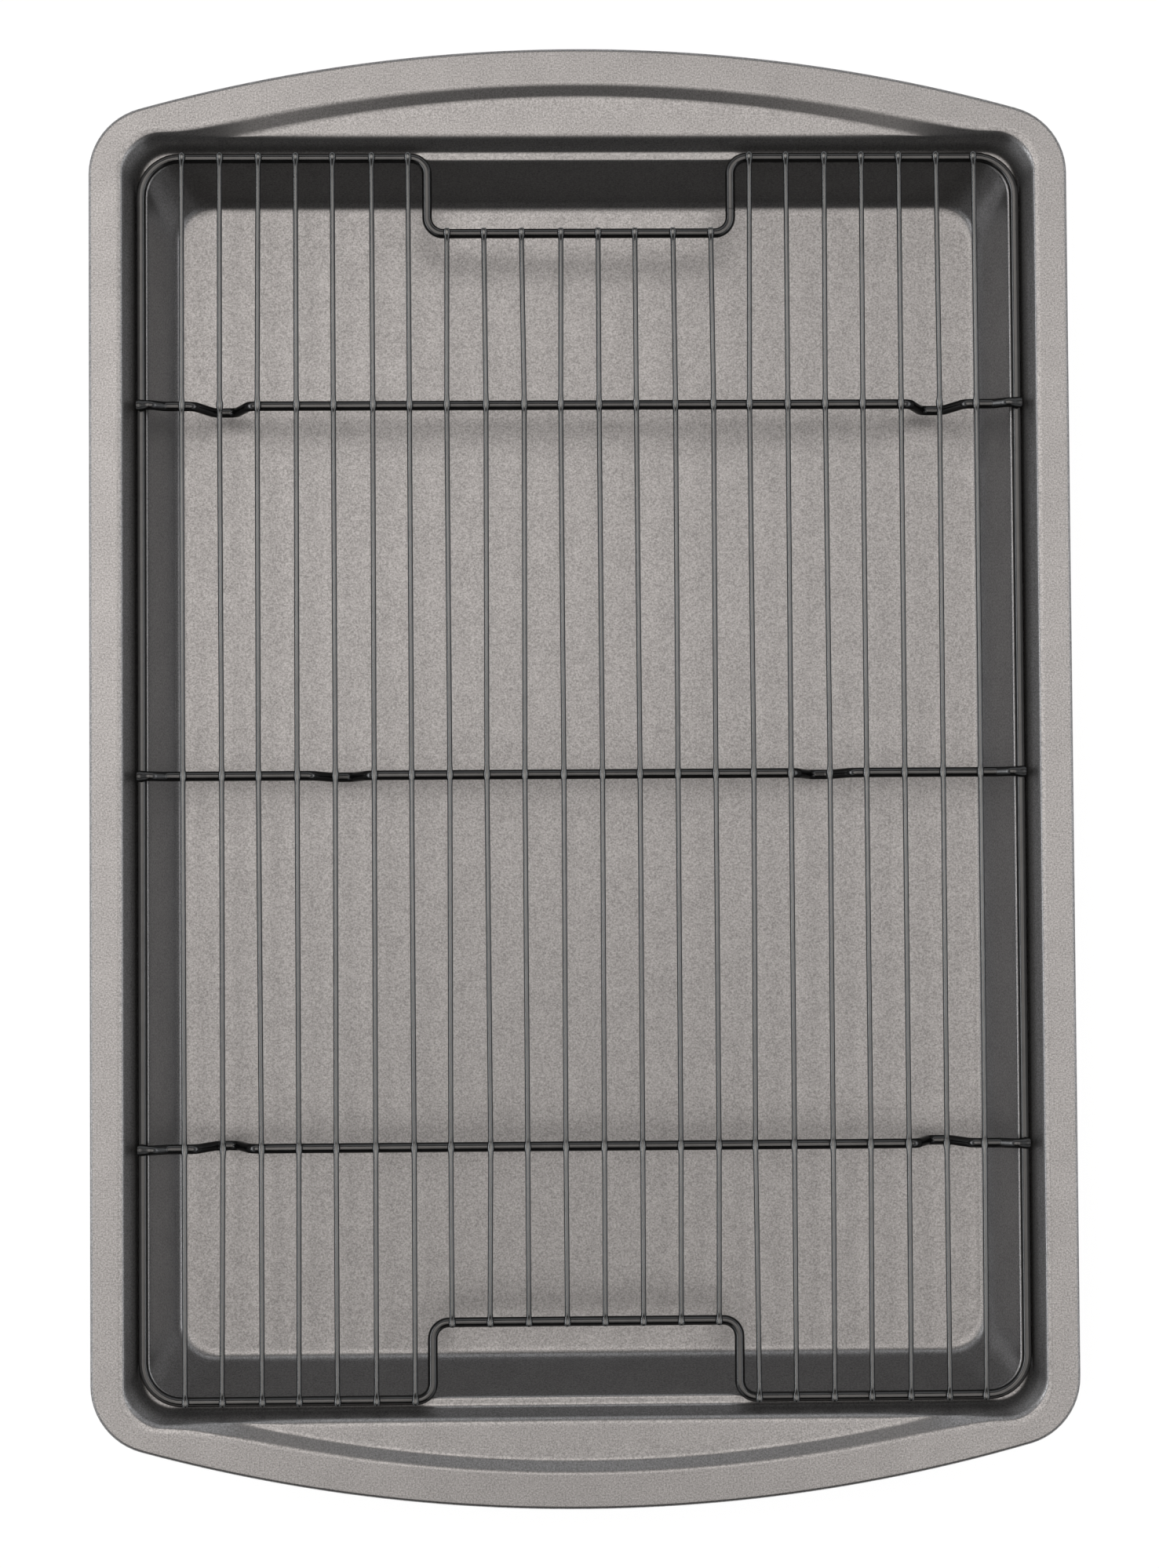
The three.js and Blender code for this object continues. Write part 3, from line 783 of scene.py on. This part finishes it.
class BAKEWARE_OT_weld_grid_wires(bpy.types.Operator):
    """Lays the thin grid wires on frame and cross wires and presses them flat at their welds"""
    bl_idname = "bakeware.weld_grid_wires"
    bl_label = "Weld Grid Wires"

    def execute(self, context):
        rack = context.scene.bakeware_rack
        material = shared_material(thin_wire_lit_coating, context.scene.bakeware_finishes)
        patterns = {}
        for number, node in enumerate(GRID_NODES):
            half = round(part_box(node)[1].y, 5)
            if half not in patterns:
                patterns[half] = self.draw_pattern(rack, half, middle(node).z)
            wire = patterns[half].copy()
            wire.data = patterns[half].data.copy()
            context.scene.collection.objects.link(wire)
            self.lay(rack, wire, half, middle(node).x, Random(number))
            settle(wire, node + "_welded", node, "rack", material)
        for pattern in patterns.values():
            bpy.data.meshes.remove(pattern.data)
        return {"FINISHED"}

    def welds(self, half):
        """Places along a wire where it is welded, from near to far."""
        inner = half - FRAME_LAP
        return [-inner] + sorted(middle(node).y for node in SUPPORT_NODES) + [inner]

    def draw_pattern(self, rack, half, z):
        """One straight wire in the middle of the rack, pressed at its welds."""
        stations = [(place, *SHEARED_END, rack.weld_sink) for place in (-half, half)]
        for weld in self.welds(half):
            for reach, wide, tall, sunk in WELD_SHAPE:
                for place in {weld - reach * MM, weld + reach * MM}:
                    if abs(place) < half - SHEAR_ROOM:
                        stations.append((place, wide, tall, sunk * rack.weld_sink))
        stations.sort()
        corners = [Vector((0, place, z)) for place, *_ in stations]
        piece = draw_wire(rack.grid_wire, corners, [0] * (len(corners) - 2))
        for place, wide, tall, sink in stations:
            press_ring(piece, Vector((0, place, z)), Vector((0, 1, 0)), wide, tall, sink)
        leave_smooth(WIRE_SHARP)
        return piece

    def lay(self, rack, wire, half, x, chance):
        """Moves a wire to its place, a little off its line at each weld, as welding leaves it."""
        welds = self.welds(half)
        drifts = [chance.uniform(-1, 1) * rack.weld_drift for _ in welds]
        for vertex in wire.data.vertices:
            place = min(max(vertex.co.y, welds[0]), welds[-1])
            index = max(number for number, weld in enumerate(welds[:-1]) if weld <= place)
            along = (place - welds[index]) / (welds[index + 1] - welds[index])
            ease = (1 - cos(along * pi)) / 2
            vertex.co.x += x + drifts[index] + (drifts[index + 1] - drifts[index]) * ease


# Stage

class BAKEWARE_OT_set_stage(bpy.types.Operator):
    """Sets a white table, soft lights and a camera straight above"""
    bl_idname = "bakeware.set_stage"
    bl_label = "Set Stage"

    def execute(self, context):
        scene = context.scene
        scene.view_settings.view_transform = "Standard"
        self.add_table(scene)
        self.add_world(scene)
        finishes = scene.bakeware_finishes
        for boxes, tint in ((OVERHEAD_BOXES, finishes.overhead_light),
                            (SIDE_BOXES, finishes.side_light)):
            for box in boxes:
                self.add_softbox(*box, tint)
        self.add_camera(scene)
        return {"FINISHED"}

    def add_table(self, scene):
        """A wide white table just under the pan."""
        bpy.ops.object.select_all(action="DESELECT")
        bpy.ops.mesh.primitive_plane_add(size=TABLE_SIZE, location=(0, 0, -TABLE_GAP))
        table = bpy.context.object
        table.name = "table"
        table.data.materials.append(white_table(scene.bakeware_finishes))

    def add_world(self, scene):
        """A dim, even room."""
        scene.world = bpy.data.worlds.new("room")
        scene.world.use_nodes = True
        tree = scene.world.node_tree
        tree.nodes.clear()
        room = add_node(tree, "ShaderNodeBackground",
                        {"Color": (1, 1, 1, 1), "Strength": ROOM_LIGHT})
        add_node(tree, "ShaderNodeOutputWorld", links={"Surface": room.outputs["Background"]})

    def add_softbox(self, name, place, aim, size, brightness, tint):
        """A flat soft light that faces the aim, of the same brightness all over."""
        bpy.ops.object.light_add(type="AREA", location=place)
        softbox = bpy.context.object
        softbox.name = "softbox_" + name
        softbox.rotation_euler = (Vector(aim) - Vector(place)).to_track_quat("-Z", "Y").to_euler()
        softbox.visible_camera = False
        softbox.data.shape = "RECTANGLE"
        softbox.data.size, softbox.data.size_y = size
        softbox.data.color = tint
        softbox.data.energy = brightness * pi * size[0] * size[1]

    def add_camera(self, scene):
        """The photograph's view, from a little over a metre above the table."""
        bpy.ops.object.camera_add(location=CAMERA_PLACE)
        camera = bpy.context.object
        tilt = Matrix.Rotation(CAMERA_TILT[0], 3, "X") @ Matrix.Rotation(CAMERA_TILT[1], 3, "Y")
        camera.rotation_euler = (Matrix.Rotation(CAMERA_TILT[2], 3, "Z") @ tilt).to_euler()
        camera.data.sensor_fit = "VERTICAL"
        camera.data.sensor_height = SENSOR_HEIGHT
        camera.data.lens = SENSOR_HEIGHT * CAMERA_FOCAL_PIXELS / PHOTO_HEIGHT_PIXELS
        camera.data.clip_start = NEAREST_SEEN
        scene.camera = camera


# Sidebar

OPERATORS = (
    BAKEWARE_OT_stamp_pan,
    BAKEWARE_OT_bend_rack_frame,
    BAKEWARE_OT_bend_support_wires,
    BAKEWARE_OT_weld_grid_wires,
    BAKEWARE_OT_set_stage,
)


class BAKEWARE_PT_sidebar(bpy.types.Panel):
    """Lists what the add-on makes and the sizes and colours it uses"""
    bl_idname = "BAKEWARE_PT_sidebar"
    bl_label = "Baking Pan with Rack"
    bl_space_type = "VIEW_3D"
    bl_region_type = "UI"
    bl_category = "Bakeware"

    def draw(self, context):
        for operator in OPERATORS:
            self.layout.operator(operator.bl_idname)
        scene = context.scene
        for group in (scene.bakeware_pan, scene.bakeware_rack, scene.bakeware_finishes):
            box = self.layout.box()
            for name in type(group).__annotations__:
                box.prop(group, name)


CLASSES = (PanSizes, RackSizes, Finishes) + OPERATORS + (BAKEWARE_PT_sidebar,)


def register():
    for item in CLASSES:
        bpy.utils.register_class(item)
    bpy.types.Scene.bakeware_pan = PointerProperty(type=PanSizes)
    bpy.types.Scene.bakeware_rack = PointerProperty(type=RackSizes)
    bpy.types.Scene.bakeware_finishes = PointerProperty(type=Finishes)


def unregister():
    del bpy.types.Scene.bakeware_finishes
    del bpy.types.Scene.bakeware_rack
    del bpy.types.Scene.bakeware_pan
    for item in reversed(CLASSES):
        bpy.utils.unregister_class(item)


def main():
    """Makes the pan, the rack and the stage."""
    register()
    bpy.ops.bakeware.stamp_pan()
    bpy.ops.bakeware.bend_rack_frame()
    bpy.ops.bakeware.bend_support_wires()
    bpy.ops.bakeware.weld_grid_wires()
    bpy.ops.bakeware.set_stage()


if __name__ == "__main__":
    main()
